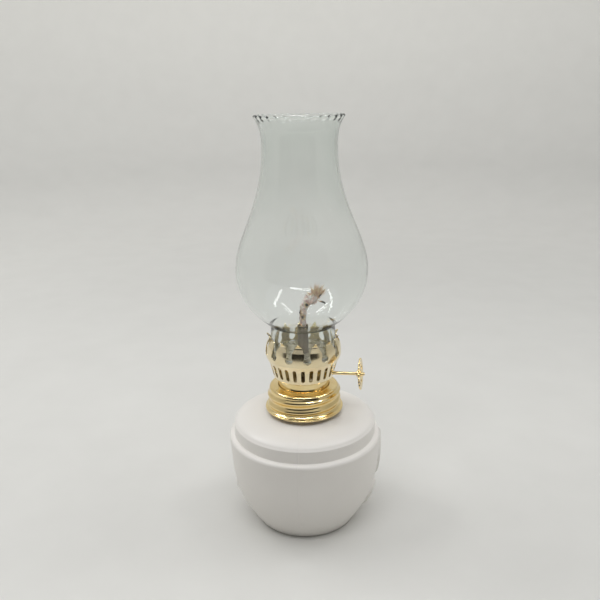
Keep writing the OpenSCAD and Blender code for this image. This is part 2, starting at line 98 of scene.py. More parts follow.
def lathe(profile, steps, closed=False):
    bm = bmesh.new()
    verts = [bm.verts.new((r * mm, 0, z * mm)) for r, z in profile]
    edges = [bm.edges.new(pair) for pair in zip(verts, verts[1:])]
    if closed:
        edges.append(bm.edges.new((verts[-1], verts[0])))
    bmesh.ops.spin(bm, geom=verts + edges, cent=(0, 0, 0), axis=(0, 0, 1), angle=math.tau,
                   steps=steps, use_merge=True)
    bmesh.ops.remove_doubles(bm, verts=bm.verts, dist=weld)
    bmesh.ops.recalc_face_normals(bm, faces=bm.faces)
    return bm


print("helpers for turned parts ready")

# %% [markdown]
# ## Helpers for meshes
# A stamped part is drawn flat as closed loops and filled, where a loop inside another is a hole. Some
# parts are joined from two meshes, and threads are made by pushing points away from the axis. Every
# finished mesh becomes an object in the same way: smooth, but with its sharp edges kept, riding on the
# body that moves it and standing in for the solid that it covers.


# %% Fill, join, push out and make a piece
def fill_flat(bm, loops):
    edges = []
    for loop in loops:
        verts = [bm.verts.new((x * mm, y * mm, 0)) for x, y in loop]
        edges += [bm.edges.new(pair) for pair in zip(verts, verts[1:] + verts[:1])]
    bmesh.ops.triangle_fill(bm, edges=edges, use_beauty=True)


def join(bm, other):
    carrier = bpy.data.meshes.new("carrier")
    other.to_mesh(carrier)
    other.free()
    bm.from_mesh(carrier)
    bpy.data.meshes.remove(carrier)


def push_out(vert, radius, rise):
    vert.co.x *= (radius + rise) / radius
    vert.co.y *= (radius + rise) / radius


def add_object(bm, name, finish):
    mesh = bpy.data.meshes.new(name)
    bm.to_mesh(mesh)
    bm.free()
    mesh.materials.append(finish)
    mesh.shade_smooth()
    thing = bpy.data.objects.new(name, mesh)
    bpy.context.scene.collection.objects.link(thing)
    return thing


def make_piece(bm, name, finish, body, stands_for, sharp=50):
    piece = add_object(bm, name, finish)
    piece.data.set_sharp_from_angle(angle=math.radians(sharp))
    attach(piece, body)
    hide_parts(*stands_for)
    print(name, "has", len(piece.data.polygons), "faces")
    return piece


print("helpers for meshes ready")

# %% [markdown]
# ## Helpers for finishes
# A finish is a small tree of nodes that ends in one Principled shader. Noise in the part's own
# coordinates varies the colour, the gloss and the height of the surface a little, which is what
# tells the eye that a thing is glaze, brass or cotton. A picture could do it too, but noise has no
# seams and no end of detail. A number that is the same all over goes straight on the shader.


# %% A finish and its nodes
def new_finish(name, **sockets):
    finish = bpy.data.materials.new(name)
    finish.use_nodes = True
    tree = finish.node_tree
    shader = tree.nodes["Principled BSDF"]
    for socket, value in sockets.items():
        shader.inputs[socket.replace("_", " ")].default_value = value
    return finish, tree, shader


def add_node(tree, kind, sockets=None, **settings):
    node = tree.nodes.new(kind)
    for key, value in settings.items():
        setattr(node, key, value)
    for key, value in (sockets or {}).items():
        node.inputs[key].default_value = value
    return node


print("helpers for finishes ready")

# %% [markdown]
# Coordinates, sums, noise, colour ramps and bumps come in every finish. Each has a function that adds
# its node, links it and returns the output that the next one needs.


# %% Coordinates, sums, noise, ramps and bumps
def mapped(tree, scale=(1, 1, 1), turn=(0, 0, 0)):
    place = add_node(tree, "ShaderNodeTexCoord")
    mapping = add_node(tree, "ShaderNodeMapping", {"Scale": scale, "Rotation": turn})
    tree.links.new(place.outputs["Object"], mapping.inputs["Vector"])
    return mapping.outputs["Vector"]


def split(tree, vector):
    node = add_node(tree, "ShaderNodeSeparateXYZ")
    tree.links.new(vector, node.inputs["Vector"])
    return node.outputs


def calculate(tree, operation, *values, **settings):
    node = add_node(tree, "ShaderNodeMath", operation=operation, **settings)
    for socket, value in zip(node.inputs, values):
        if isinstance(value, float):
            socket.default_value = value
        else:
            tree.links.new(value, socket)
    return node.outputs[0]


def noise_on(tree, vector, scale, detail=3):
    node = add_node(tree, "ShaderNodeTexNoise", {"Scale": scale, "Detail": detail})
    tree.links.new(vector, node.inputs["Vector"])
    return node.outputs["Fac"]


def ramp(tree, source, stops):
    node = add_node(tree, "ShaderNodeValToRGB")
    bands = node.color_ramp.elements
    while len(bands) < len(stops):
        bands.new(0.5)
    for band, (place, colour) in zip(bands, stops):
        band.position = place
        band.color = (*colour, 1) if isinstance(colour, tuple) else (colour, colour, colour, 1)
    tree.links.new(source, node.inputs["Fac"])
    return node.outputs["Color"]


def paint(tree, shader, socket, source, stops):
    tree.links.new(ramp(tree, source, stops), shader.inputs[socket])


def bump(tree, height, distance, strength, below=None):
    node = add_node(tree, "ShaderNodeBump", {"Distance": distance, "Strength": strength})
    tree.links.new(height, node.inputs["Height"])
    if below:
        tree.links.new(below, node.inputs["Normal"])
    return node.outputs["Normal"]


print("helpers for textures ready")

# %% [markdown]
# ## White glaze
# The bowl is cast in a two-part mould and dipped in white glaze. Glaze is a coat of glass: smooth,
# but never quite flat, and thin and thick in soft clouds. The mould leaves a low line where its
# halves met, down the front and the back. It is finer than the mesh's steps, so it could only be
# modelled with many more points: it is a bump in the finish, raised near one upright plane.

# %% Mix the glaze
seam_turn = math.radians(2.6)
seam_half_w = 0.5 * mm
seam_h = 0.16 * mm
peel_h = 0.4 * mm

glaze, tree, shader = new_finish("white_glaze", IOR=1.5, Coat_Weight=0.15, Coat_Roughness=0.2)
clouds = noise_on(tree, mapped(tree), 26, 4)
paint(tree, shader, "Base Color", clouds, [(0.3, (0.83, 0.8, 0.758)), (0.7, (0.855, 0.827, 0.785))])
paint(tree, shader, "Roughness", noise_on(tree, mapped(tree), 55), [(0.3, 0.36), (0.75, 0.46)])
across = split(tree, mapped(tree, turn=(0, 0, -seam_turn)))["X"]
seam = add_node(tree, "ShaderNodeMapRange",
                {"From Min": 0, "From Max": seam_half_w, "To Min": 1, "To Max": 0},
                interpolation_type="SMOOTHSTEP")
tree.links.new(calculate(tree, "ABSOLUTE", across), seam.inputs["Value"])
peel = bump(tree, noise_on(tree, mapped(tree), 130, 2), peel_h, 0.12)
tree.links.new(bump(tree, seam.outputs["Result"], seam_h, 0.5, peel), shader.inputs["Normal"])
print("glaze ready")

# %% [markdown]
# ## Bare clay
# A glazed pot can't stand on wet glaze in the kiln, so its foot is wiped bare. The ring under the
# bowl is therefore a dry, warm white clay. One fine noise gives its colour, its roughness and its
# grain, because in real clay all three come from the same grains.

# %% Mix the bare clay
grain_h = 0.1 * mm
clay, tree, shader = new_finish("bare_clay", IOR=1.4)
grain = noise_on(tree, mapped(tree), 900, 3)
paint(tree, shader, "Base Color", grain, [(0.35, (0.6, 0.55, 0.48)), (0.65, (0.72, 0.68, 0.6))])
paint(tree, shader, "Roughness", grain, [(0.3, 0.75), (0.7, 0.92)])
tree.links.new(bump(tree, grain, grain_h, 0.4), shader.inputs["Normal"])
print("clay ready")

# %% [markdown]
# ## The bowl
# The bowl is one line, spun: a hollow foot, a swelling side, a rolled lip, a step up to a domed plate
# and a neck, then the same walls inside. It could be pushed out of a subdivided tube, but a drawn line
# keeps each size where it can be read. A moulded pot has soft corners, so each corner is an arc. The
# side and the neck get many rows of points, because the moulded leaves and the neck's thread are
# raised out of them afterwards.

# %% Spin the bowl
foot_r = 25.8
bowl_r = 37.8
lip_z = 46.5
lip_round = 1.7
plate_r = 35.2
plate_z = 53.0
shoulder_z = 57.2
neck_r = 16.2
neck_top_z = 69.2
bore_r = 12.9
wall = 3.0
bowl_steps = 288

bowl_side = bezier((foot_r, 1.2), (36.5, 17.3), (36.5, 22.3), (bowl_r, lip_z - lip_round), 76)
bowl_line = (
    [(0, 0.7), (19.6, 0.7), (20.3, 0.35), (20.9, 0.0), (23.2, 0.0)]
    + arc((foot_r - 1.3, 1.2), 1.2, -90, -25, 5) + bowl_side
    + arc((bowl_r - lip_round, lip_z - lip_round), lip_round, 10, 88, 9)
    + arc((plate_r + 0.4, lip_z + 0.4), 0.4, 265, 182, 4)
    + line((plate_r, lip_z + 0.9), (plate_r, plate_z - 1.0), 5)
    + arc((plate_r - 0.8, plate_z - 0.8), 0.8, 0, 50, 5)
    + bezier((plate_r - 0.6, plate_z + 0.1), (plate_r - 1.8, plate_z + 2.5),
             (neck_r + 11.8, shoulder_z - 0.6), (neck_r + 1.0, shoulder_z), 22)
    + arc((neck_r + 0.9, shoulder_z + 0.9), 0.9, 265, 182, 5)
    + line((neck_r, shoulder_z + 1.2), (neck_r, neck_top_z - 0.8), 40)
    + arc((neck_r - 0.7, neck_top_z - 0.7), 0.7, 5, 90, 5)
    + arc((bore_r + 0.6, neck_top_z - 0.6), 0.6, 90, 180, 5)
    + line((bore_r, neck_top_z - 1.5), (bore_r, shoulder_z - wall + 0.8), 4)
    + bezier((bore_r + 0.8, shoulder_z - wall), (24.2, shoulder_z - wall - 0.4), (29.2, plate_z - 0.9),
             (plate_r - wall - 1.5, plate_z - wall), 9)
    + bezier((plate_r - wall, lip_z + 0.8), (33.5, 23.3), (33.5, 18.8), (foot_r - 4, 4.0), 22)
    + [(0, 4.0)])
bowl_mesh = lathe(bowl_line, bowl_steps)
print("bowl line has", len(bowl_line), "points")

# %% [markdown]
# ## The moulded leaves
# The sides and the back carry low leaves, pressed in the mould: only their edges show in the
# photograph, so their layout is a plain guess. They could be separate pieces laid on the bowl, but
# raising points along the surface's own normal keeps the bowl in one skin, as a moulding is. Each leaf
# is a pointed oval that swells from its edge, with a groove along its middle and fainter ones towards
# the sides. Its five numbers are its place round the bowl in degrees, its height, length and width,
# and its tilt in degrees.

# %% The shape of a leaf
leaf_h = 1.8
leaf_edge_w = 1.0
edge_share = 0.62
midrib_half_w = 0.55
midrib_depth = 0.3
vein_h = 0.1
vein_rate = 2.2
vein_slope = 0.8
leaf_tip_w = 0.05
leaves = [[86, 14, 14, 8, 72], [103, 31.5, 26, 15, 80], [131, 17, 17, 9, -60], [140, 33, 17, 9, 60],
          [165, 20, 17, 9, -64], [174, 35, 18, 9, 58], [198, 17, 17, 9, -66], [207, 33, 17, 9, 62],
          [232, 20, 17, 9, -60], [238, 35, 15, 8, 66], [276, 12.5, 14, 8, 60]]


def smooth_step(value):
    value = min(1, max(0, value))
    return value * value * (3 - 2 * value)


def leaf_rise(turn, radius, height, leaf):
    place, middle, length, width, tilt = leaf
    around = radius * math.radians((turn - place + 180) % 360 - 180)
    up = height - middle
    lean = math.radians(tilt)
    along = around * math.cos(lean) + up * math.sin(lean)
    aside = up * math.cos(lean) - around * math.sin(lean)
    half = width / 2 * (1 - (2 * along / length) ** 2)
    if half <= leaf_tip_w or abs(aside) >= half:
        return 0
    inward = 1 - abs(aside) / half
    edge = smooth_step(inward * half / leaf_edge_w)
    swell = edge * (edge_share + (1 - edge_share) * math.sqrt(inward))
    midrib = midrib_depth * math.exp(-((aside / midrib_half_w) ** 2))
    veins = vein_h * math.sin(vein_rate * (abs(along) - vein_slope * abs(aside)))
    return leaf_h * max(0, swell * (1 - midrib) + veins * edge * inward)


print(len(leaves), "leaves")

# %% [markdown]
# Only points on the outside of the bowl's wall move. Each goes out along its normal, by the highest
# rise of any leaf there.

# %% Raise the leaves
lowest_leaf_z = 2
skin = 0.5
raised = 0
side_r, side_z = np.array(bowl_side).T
bowl_mesh.normal_update()
for vert in bowl_mesh.verts:
    x, y, z = vert.co / mm
    radius = math.hypot(x, y)
    inside = radius < np.interp(z, side_z, side_r) - skin
    if inside or not lowest_leaf_z < z < lip_z - lip_round:
        continue
    rise = max(leaf_rise(math.degrees(math.atan2(x, -y)), radius, z, leaf) for leaf in leaves)
    vert.co += vert.normal * rise * mm
    raised += rise > 0
print(raised, "points raised into leaves")

# %% [markdown]
# ## The neck's thread
# The cap screws on one round turn of thread. It could be a tube swept along a helix, but that leaves a
# seam. Here a point of the neck is on the thread when its height matches the thread's height at its
# own angle, and it moves straight out. The thread starts and ends in a slope, so that the cap finds
# its way on.

# %% Raise the neck's thread
thread_z = 62.3
thread_pitch = 4.5
thread_start = math.radians(200)
thread_h = 1.1
thread_half_w = 1.35
thread_fade = 0.1
neck_skin = 0.05


def off_thread(x, y, z):
    turn = (math.atan2(y, x) - thread_start) % math.tau / math.tau
    climb = (z - thread_z) / thread_pitch - turn
    return turn, climb


for vert in bowl_mesh.verts:
    x, y, z = vert.co / mm
    radius = math.hypot(x, y)
    if abs(radius - neck_r) > neck_skin:
        continue
    turn, climb = off_thread(x, y, z)
    fade = smooth_step(turn / thread_fade) * smooth_step((1 - turn) / thread_fade)
    rise = thread_h * fade * smooth_step(thread_half_w - abs(climb) * thread_pitch)
    push_out(vert, radius, rise)
bowl = make_piece(bowl_mesh, "bowl", glaze, "base", ["reservoir"])

# %% [markdown]
# The ring that the bowl stands on is the part of its skin that faces down at the floor. Those faces
# get the clay as a second finish, so the bowl stays one piece.

# %% Wipe the foot bare
bowl.data.materials.append(clay)
bare_ring_z = 0.3 * mm
bare_faces = [face for face in bowl.data.polygons if face.center.z < bare_ring_z and face.normal.z < -0.5]
for face in bare_faces:
    face.material_index = 1
print(len(bare_faces), "faces of bare clay")

# %% [markdown]
# ## Brass
# The burner is pressed from thin brass sheet in three states: polished and lacquered on the cap,
# collar and knob, a paler bright finish on the petals, and dull brass on parts inside the burner.
# Clean brass only mirrors what is round it, so its shader is fully metallic. Dull brass has a skin of
# oxide that also scatters light, so it is less metallic. Fine marks run round a part because it was
# spun against a tool, so the noise is squeezed along Z. One function mixes all three, because they
# are one metal.

# %% Mix the brass
tool_mark_h = 0.06 * mm


def make_brass(name, dark, bright, smooth, rough, marks, metal=1.0):
    finish, tree, shader = new_finish(name, Metallic=metal)
    clouds = noise_on(tree, mapped(tree), 70, 4)
    paint(tree, shader, "Base Color", clouds, [(0.3, dark), (0.7, bright)])
    paint(tree, shader, "Roughness", noise_on(tree, mapped(tree), 260), [(0.3, smooth), (0.75, rough)])
    spun = noise_on(tree, mapped(tree, scale=(1, 1, 12)), 420, 2)
    tree.links.new(bump(tree, spun, tool_mark_h, marks), shader.inputs["Normal"])
    return finish


polished = make_brass("polished_brass", (0.83, 0.63, 0.29), (0.93, 0.76, 0.42), 0.08, 0.19, 0.12)
pale = make_brass("pale_brass", (0.84, 0.71, 0.45), (0.93, 0.82, 0.58), 0.12, 0.26, 0.1)
dull = make_brass("dull_brass", (0.64, 0.57, 0.42), (0.8, 0.73, 0.57), 0.24, 0.4, 0.2, metal=0.4)
print("three states of brass ready")

# %% [markdown]
# ## Smoked brass for the wick tube
# The tube that holds the wick stands in the flame's heat, so its brass goes grey and its mouth is
# black with soot. Height in the tube's own coordinates drives the soot, broken up with noise so that
# its edge isn't a ruled line.

# %% Mix the smoked brass
soot_low_z = 93 * mm
soot_high_z = 102.5 * mm
soot_break = 0.5
smoked, tree, shader = new_finish("smoked_brass", Metallic=0.5)
streaks = noise_on(tree, mapped(tree, scale=(1, 1, 0.15)), 700, 3)
soot = add_node(tree, "ShaderNodeMapRange", {"From Min": soot_low_z, "From Max": soot_high_z})
tree.links.new(split(tree, mapped(tree))["Z"], soot.inputs["Value"])
blotched = calculate(tree, "MULTIPLY_ADD", streaks, soot_break, soot.outputs["Result"])
paint(tree, shader, "Base Color", blotched,
      [(0.2, (0.5, 0.43, 0.36)), (0.85, (0.32, 0.27, 0.22)), (1.0, (0.14, 0.12, 0.1))])
paint(tree, shader, "Roughness", streaks, [(0.3, 0.3), (0.7, 0.55)])
print("smoked brass ready")

# %% [markdown]
# ## The screw cap
# The cap is a thin cup, and its thread is rolled into the sheet so that it shows outside as a round
# ridge that climbs. Plain rings would be easier, but they would never lead the cap down the neck. The
# cup is spun from a closed line, outside and inside, and then every point of the wall moves out where
# the ridge passes, by the same rule as on the neck.

# %% Spin the cap and roll its thread
cap_z = 59.2
cap_top_z = 71.1
cap_r = 17.1
cap_sheet = 0.5
skirt_r = 19.3
bead_h = 1.0
bead_half_w = 2.1
dome_h = 0.5
cap_hole_r = 12.6
cap_skin = 0.1
bead_low_z = cap_z + 1.2
bead_low_fade = 1.4
bead_high_z = cap_top_z - 1.0
bead_high_fade = 1.6

cap_line = (
    arc((skirt_r - 0.5, cap_z + 0.5), 0.5, -170, 80, 11)
    + bezier((skirt_r - 0.6, cap_z + 1.02), (cap_r + 1.0, cap_z + 1.2), (cap_r, cap_z + 2.0),
             (cap_r, cap_z + 2.8), 8)
    + line((cap_r, cap_z + 3.0), (cap_r, cap_top_z - 1.6), 44)
    + arc((cap_r - 1.3, cap_top_z - 1.3), 1.3, 4, 92, 8)
    + bezier((cap_r - 1.7, cap_top_z), (cap_hole_r + 2.2, cap_top_z + 0.05),
             (cap_hole_r + 1.4, cap_top_z + 0.3), (cap_hole_r + 0.4, cap_top_z + dome_h), 8)
    + arc((cap_hole_r + 0.3, cap_top_z + dome_h - 0.3), 0.3, 80, 180, 4)
    + [(cap_hole_r, cap_top_z + dome_h - 0.7), (cap_hole_r + 2.6, cap_top_z - 0.6)]
    + arc((cap_r - cap_sheet - 1.1, cap_top_z - 1.65), 1.1, 85, 5, 5)
    + line((cap_r - cap_sheet, cap_top_z - 1.8), (cap_r - cap_sheet, cap_z + 3.0), 44)
    + bezier((cap_r - cap_sheet, cap_z + 2.6), (cap_r - cap_sheet, cap_z + 1.8),
             (cap_r + 0.4, cap_z + 1.0), (skirt_r - 1.0, cap_z + 0.8), 6))
cap_mesh = lathe(cap_line, 216, closed=True)

for vert in cap_mesh.verts:
    x, y, z = vert.co / mm
    radius = math.hypot(x, y)
    if radius < cap_r - cap_sheet - cap_skin:
        continue
    climb = off_thread(x, y, z)[1]
    off = abs(climb - round(climb)) * thread_pitch
    low_fade = smooth_step((z - bead_low_z) / bead_low_fade)
    fade = low_fade * smooth_step((bead_high_z - z) / bead_high_fade)
    rise = bead_h * fade * smooth_step(1 - off / bead_half_w)
    push_out(vert, radius, rise)
make_piece(cap_mesh, "cap", polished, "burner", ["screw_cap"])

# %% [markdown]
# ## The collar
# A short tube joins the cap to the petals' basket. Its ends are turned over inside both, so outside
# only a plain bright band shows, and a dark line where it drops into the cap. It is spun from one
# closed line with both turned-over ends in it, as the real one is rolled from one tube.

# %% Spin the collar
collar_r = 12.45
collar_in_r = 11.95
collar_fold_r = 13.15
collar_low_z = 70.1
collar_high_z = 77.2
collar_line = ([(collar_fold_r, collar_low_z), (collar_fold_r, 70.5), (collar_r + 0.05, 70.6)]
               + line((collar_r, 70.8), (collar_r, 76.2), 8)
               + [(collar_r, 76.7), (collar_fold_r - 0.05, 76.8), (collar_fold_r, collar_high_z),
                  (collar_in_r, collar_high_z + 0.05), (collar_in_r, collar_low_z)])
make_piece(lathe(collar_line, 128, closed=True), "collar", polished, "burner",
           ["burner_collar"])

# %% [markdown]
# ## The petal basket
# The gallery that holds the glass is one strip of springy sheet: slotted for air, cut into petals and
# rolled up. Cutting slots out of a spun basket would tear its mesh, so it is made as in the factory.
# One petal's share is drawn flat, with its slots as holes, and filled. Straight cuts across it give
# it points to bend at. Then it is bent to the basket's outline, copied round, joined, and given the
# thickness of the sheet.

# %% The basket's outline and its flat blank
basket_z = 76.3
basket_sheet = 0.45
petal_count = 13
half_step = math.pi / petal_count
flat_r = 15.0
tip_z = 21.4
tip_round = 0.75
basket_line = np.array(
    line((12.5, 0), (14.3, 0), 4) + arc((14.3, 0.6), 0.6, -70, -15, 4)
    + line((14.92, 0.7), (16.45, 6.8), 14)
    + bezier((16.5, 7.0), (17.2, 9.0), (18.45, 10.1), (18.45, 12.1), 12)
    + bezier((18.45, 12.3), (18.45, 14.4), (18.15, 15.9), (17.75, 17.05), 12)
    + line((17.64, 17.25), (16.46, 19.25), 5)
    + bezier((16.4, 19.4), (16.35, 20.0), (16.95, 20.8), (17.7, tip_z), 7))
basket_r, basket_h = basket_line.T
lengths = np.concatenate([[0], np.cumsum(np.hypot(*np.diff(basket_line, axis=0).T))])


def flat(turn, aside, height):
    radius = np.interp(height, basket_h, basket_r)
    return ((turn + aside / radius) * flat_r, np.interp(height, basket_h, lengths))


def oval(turn, width, low, high):
    low_end = arc((0, low + width / 2), width / 2, 180, 360, 9)
    high_end = arc((0, high - width / 2), width / 2, 0, 180, 9)
    return [flat(turn, x, y) for x, y in low_end + high_end]


keyhole_z = 13.9
keyhole_r = 1.9
keyhole = arc((0, keyhole_z), keyhole_r, -90, -220, 12)
side = [(3.0, 15.8)]
shoulder = arc((2.9 - 0.8, 16.9), 0.8, 0, 30, 4)
corner = arc((1.75 - 0.4, 19.4), 0.4, 20, 90, 4)
tip = arc((0, tip_z - tip_round), tip_round, -10, 90, 10)
right = ([(half_step * flat_r, 0)] + [flat(half_step, x, y) for x, y in keyhole]
         + [flat(0, x, y) for x, y in side + shoulder + corner + tip])
petal_edge = right + [(-x, y) for x, y in right[-2::-1]]
print("one petal's blank has", len(petal_edge), "edge points")

# %% [markdown]
# The petal beside the winder's shaft has a shorter slot, with the shaft's round hole under it. So the
# blank is a function of its holes: twelve petals share one, and the thirteenth has its own. A cut
# that passes very near a point uses that point, because a sliver of a face has no sure direction and
# would throw out a spike when the sheet gets its thickness.

# %% Fill, bend and copy the petals
sliver = 0.03 * mm
level_step = 0.45
upright_places = np.arange(-3.3, 3.4, 0.55)
petal_turn = 2 * half_step


def bend_petal(holes, petal):
    bm = bmesh.new()
    fill_flat(bm, [petal_edge] + holes)
    cuts = [(Vector((0, 1, 0)), place) for place in np.arange(level_step, lengths[-1], level_step)]
    cuts += [(Vector((1, 0, 0)), place) for place in upright_places]
    for across, place in cuts:
        bmesh.ops.bisect_plane(bm, geom=bm.verts[:] + bm.edges[:] + bm.faces[:], dist=sliver,
                               plane_co=across * place * mm, plane_no=across)
    bmesh.ops.remove_doubles(bm, verts=bm.verts, dist=sliver)
    bmesh.ops.dissolve_degenerate(bm, edges=bm.edges, dist=sliver)
    bmesh.ops.triangulate(bm, faces=[face for face in bm.faces if len(face.verts) > 4])
    bmesh.ops.reverse_faces(bm, faces=[face for face in bm.faces if face.normal.z < 0])
    for vert in bm.verts:
        turn = vert.co.x / mm / flat_r
        radius = np.interp(vert.co.y / mm, lengths, basket_r)
        height = np.interp(vert.co.y / mm, lengths, basket_h)
        vert.co = (radius * math.sin(turn) * mm, -radius * math.cos(turn) * mm, (height + basket_z) * mm)
    bmesh.ops.rotate(bm, verts=bm.verts, cent=(0, 0, 0), matrix=Matrix.Rotation(petal_turn * petal, 3, "Z"))
    return bm


slot_w = 1.8
slot_low = 1.8
slot_high = 8.4
shaft_petal = 3
copies = petal_count - 2
slot_places = (-half_step / 2, half_step / 2)
slots = [oval(turn, slot_w, slot_low, slot_high) for turn in slot_places]
basket = bend_petal(slots, shaft_petal + 1)
bmesh.ops.spin(basket, geom=basket.verts[:] + basket.edges[:] + basket.faces[:], cent=(0, 0, 0),
               axis=(0, 0, 1), angle=petal_turn * copies, steps=copies, use_duplicate=True)
print(petal_count - 1, "petals have", len(basket.faces), "faces as thin sheet")

# %% [markdown]
# The thirteenth petal is joined to the others along the edges that they share. Only then does the
# whole strip get its thickness, so that no wall is left inside a joint.

# %% Join the petal beside the shaft and thicken the sheet
short_slot_low = 4.4
shaft_hole_z = 2.8
shaft_hole_r = 1.05
shaft_place = math.radians(75.0)
petal_weld = 0.01 * mm
shaft_turn = shaft_place - petal_turn * shaft_petal
shaft_hole = [flat(shaft_turn, x, y) for x, y in arc((0, shaft_hole_z), shaft_hole_r, 0, 340, 18)]
short_slot = oval(slot_places[0], slot_w, short_slot_low, slot_high)
join(basket, bend_petal([short_slot, slots[1], shaft_hole], shaft_petal))
bmesh.ops.remove_doubles(basket, verts=basket.verts, dist=petal_weld)
bmesh.ops.solidify(basket, geom=basket.faces[:], thickness=basket_sheet * mm)
make_piece(basket, "petal_basket", pale, "burner", ["gallery"], sharp=40)

# %% [markdown]
# ## The knob
# The knob is a stamped disc with a scalloped edge, a ring of round holes and a shallow dish, pressed
# on a small hub. Holes could be cut with a boolean, but a flat drawing with its holes in it fills
# cleanly. It is drawn as two rings that share an edge, so that the fold between dish and rim falls on
# that edge. The face of the knob is turned away in the photograph, so its holes are a guess from
# other lamps of the kind.

# %% Stamp the knob
knob_x = 27.5
shaft_y = -4.0
shaft_z = 79.1
knob_r = 7.6
knob_fold_r = 6.5
knob_sheet = 0.7
knob_dish = 0.7
hub_r = 1.7
scallops = 22
scallop_h = 0.5
knob_hole_count = 8
knob_hole_r = 0.76
knob_hole_ring_r = 0.62 * knob_r
knob_wobble = math.radians(-3.5)
knob_lean = math.radians(-3.5)

turns = np.linspace(0, math.tau, scallops * 10, endpoint=False)
rim_r = knob_r - scallop_h * np.abs(np.cos(turns * scallops / 2)) ** 6
knob_loops = [[(r * math.cos(a), r * math.sin(a)) for a, r in zip(turns, rim_r)],
              [(knob_fold_r * math.cos(a), knob_fold_r * math.sin(a)) for a in turns[::2]],
              [(hub_r * math.cos(a), hub_r * math.sin(a)) for a in turns[::5]]]
knob_holes = []
for hole in range(knob_hole_count):
    place = (hole + 0.5) * math.tau / knob_hole_count
    middle = (knob_hole_ring_r * math.cos(place), knob_hole_ring_r * math.sin(place))
    knob_holes.append(arc(middle, knob_hole_r, 0, 345, 24))

knob_mesh = bmesh.new()
fill_flat(knob_mesh, knob_loops[:2])
fill_flat(knob_mesh, [knob_loops[1], knob_loops[2]] + knob_holes)
bmesh.ops.remove_doubles(knob_mesh, verts=knob_mesh.verts, dist=weld)
bmesh.ops.reverse_faces(knob_mesh, faces=[face for face in knob_mesh.faces if face.normal.z < 0])
for vert in knob_mesh.verts:
    share = (vert.co.xy.length / mm - hub_r) / (knob_fold_r - hub_r)
    vert.co.z = (knob_dish * min(1, share) + knob_sheet / 2) * mm
bmesh.ops.solidify(knob_mesh, geom=knob_mesh.faces[:], thickness=knob_sheet * mm)
print("knob blank has", len(knob_mesh.faces), "faces")

# %% [markdown]
# The hub is a short turned ring. It is spun on its own and joined to the disc, their sharp edges are
# rounded together, and both are then stood on the shaft, which runs along X. The real knob leans a
# little on its shaft, and so does this one.

# %% Add the hub and stand the knob on its shaft
hub_bore_r = 0.8
hub_half_l = 1.1
knob_round = 0.06
sharp_turn = 1.2
hub_line = [(hub_bore_r, -hub_half_l), (hub_r - 0.2, -hub_half_l), (hub_r, -0.9), (hub_r, 0.85),
            (hub_r - 0.25, hub_half_l), (hub_bore_r, hub_half_l)]
join(knob_mesh, lathe(hub_line, 40, closed=True))
sharp_edges = [edge for edge in knob_mesh.edges if edge.calc_face_angle(0) > sharp_turn]
bmesh.ops.bevel(knob_mesh, geom=sharp_edges, offset=knob_round * mm, segments=2, profile=0.5,
                affect="EDGES", material=-1)
stand = (Matrix.Translation((knob_x * mm, shaft_y * mm, shaft_z * mm))
         @ Matrix.Rotation(knob_wobble, 4, "Z") @ Matrix.Rotation(math.pi / 2 + knob_lean, 4, "Y"))
bmesh.ops.transform(knob_mesh, matrix=stand, verts=knob_mesh.verts)
make_piece(knob_mesh, "knob", polished, "winder", ["winder_knob"], sharp=35)

# %% [markdown]
# ## Cotton
# The wick is undyed cotton, pinkish from the lamp oil, and scorched where it has burned. A picture of
# the scorch could be painted, but loose yarn has no flat side to paint on. So how scorched each point
# is gets stored in the mesh as a number from 0 to 1, and the finish reads it: clean cotton, then
# brown, then black.

# %% Mix the cotton
yarn_grain_h = 0.1 * mm
cotton, tree, shader = new_finish("wick_cotton", Roughness=0.95, Sheen_Weight=0.3,
                                  Subsurface_Weight=0.08, Subsurface_Scale=0.5 * mm)
scorch = add_node(tree, "ShaderNodeAttribute", attribute_name="scorch")
threads = noise_on(tree, mapped(tree), 620, 3)
mottle = ramp(tree, threads, [(0.36, (0.76, 0.54, 0.47)), (0.5, (1.0, 0.86, 0.79)),
                              (0.62, (1.0, 0.96, 0.91))])
burned = ramp(tree, scorch.outputs["Fac"], [(0.0, 1.0), (0.12, (1.0, 0.93, 0.7)),
                                            (0.35, (0.7, 0.56, 0.34)), (0.75, 0.02)])
tint = add_node(tree, "ShaderNodeMix", {"Factor": 1}, data_type="RGBA", blend_type="MULTIPLY")
tree.links.new(mottle, tint.inputs["A"])
tree.links.new(burned, tint.inputs["B"])
tree.links.new(tint.outputs["Result"], shader.inputs["Base Color"])
tree.links.new(bump(tree, threads, yarn_grain_h, 0.5), shader.inputs["Normal"])
print("cotton ready")

# %% [markdown]
# ## The wick
# A round wick is a braid: strands wind both ways round a core and pass over and under each other.
# Each strand here is a curve that winds round the wick's middle line and breathes in and out as it
# crosses the others. Above the tube the wick leans over, its end comes apart into loose yarn, and
# fine stiff fibres fan out of it. Hair could draw the loose end, but curves with a round section draw
# all of these and become one mesh.

# %% The wick's middle line
tail_z = 10.5
bend_z = 105.0
lean_step = 0.6
wick_line = [(0.0, z) for z in np.arange(tail_z, bend_z, 1.0)]
wick_line += bezier((0.0, bend_z), (0.0, 110.4), (0.9, 113.2), (4.4, 115.4), 16)
wick_line = np.array(wick_line)
wick_x, wick_z = wick_line.T
wick_lengths = np.concatenate([[0], np.cumsum(np.hypot(*np.diff(wick_line, axis=0).T))])
wick_length = wick_lengths[-1]


def wick_place(along, aside, turn):
    x = np.interp(along, wick_lengths, wick_x)
    z = np.interp(along, wick_lengths, wick_z)
    beyond = (along - lean_step, along + lean_step)
    ahead_x = np.diff(np.interp(beyond, wick_lengths, wick_x))[0]
    ahead_z = np.diff(np.interp(beyond, wick_lengths, wick_z))[0]
    lean = math.atan2(ahead_x, ahead_z)
    out = aside * math.cos(turn)
    return Vector((x + out * math.cos(lean), aside * math.sin(turn), z - out * math.sin(lean)))


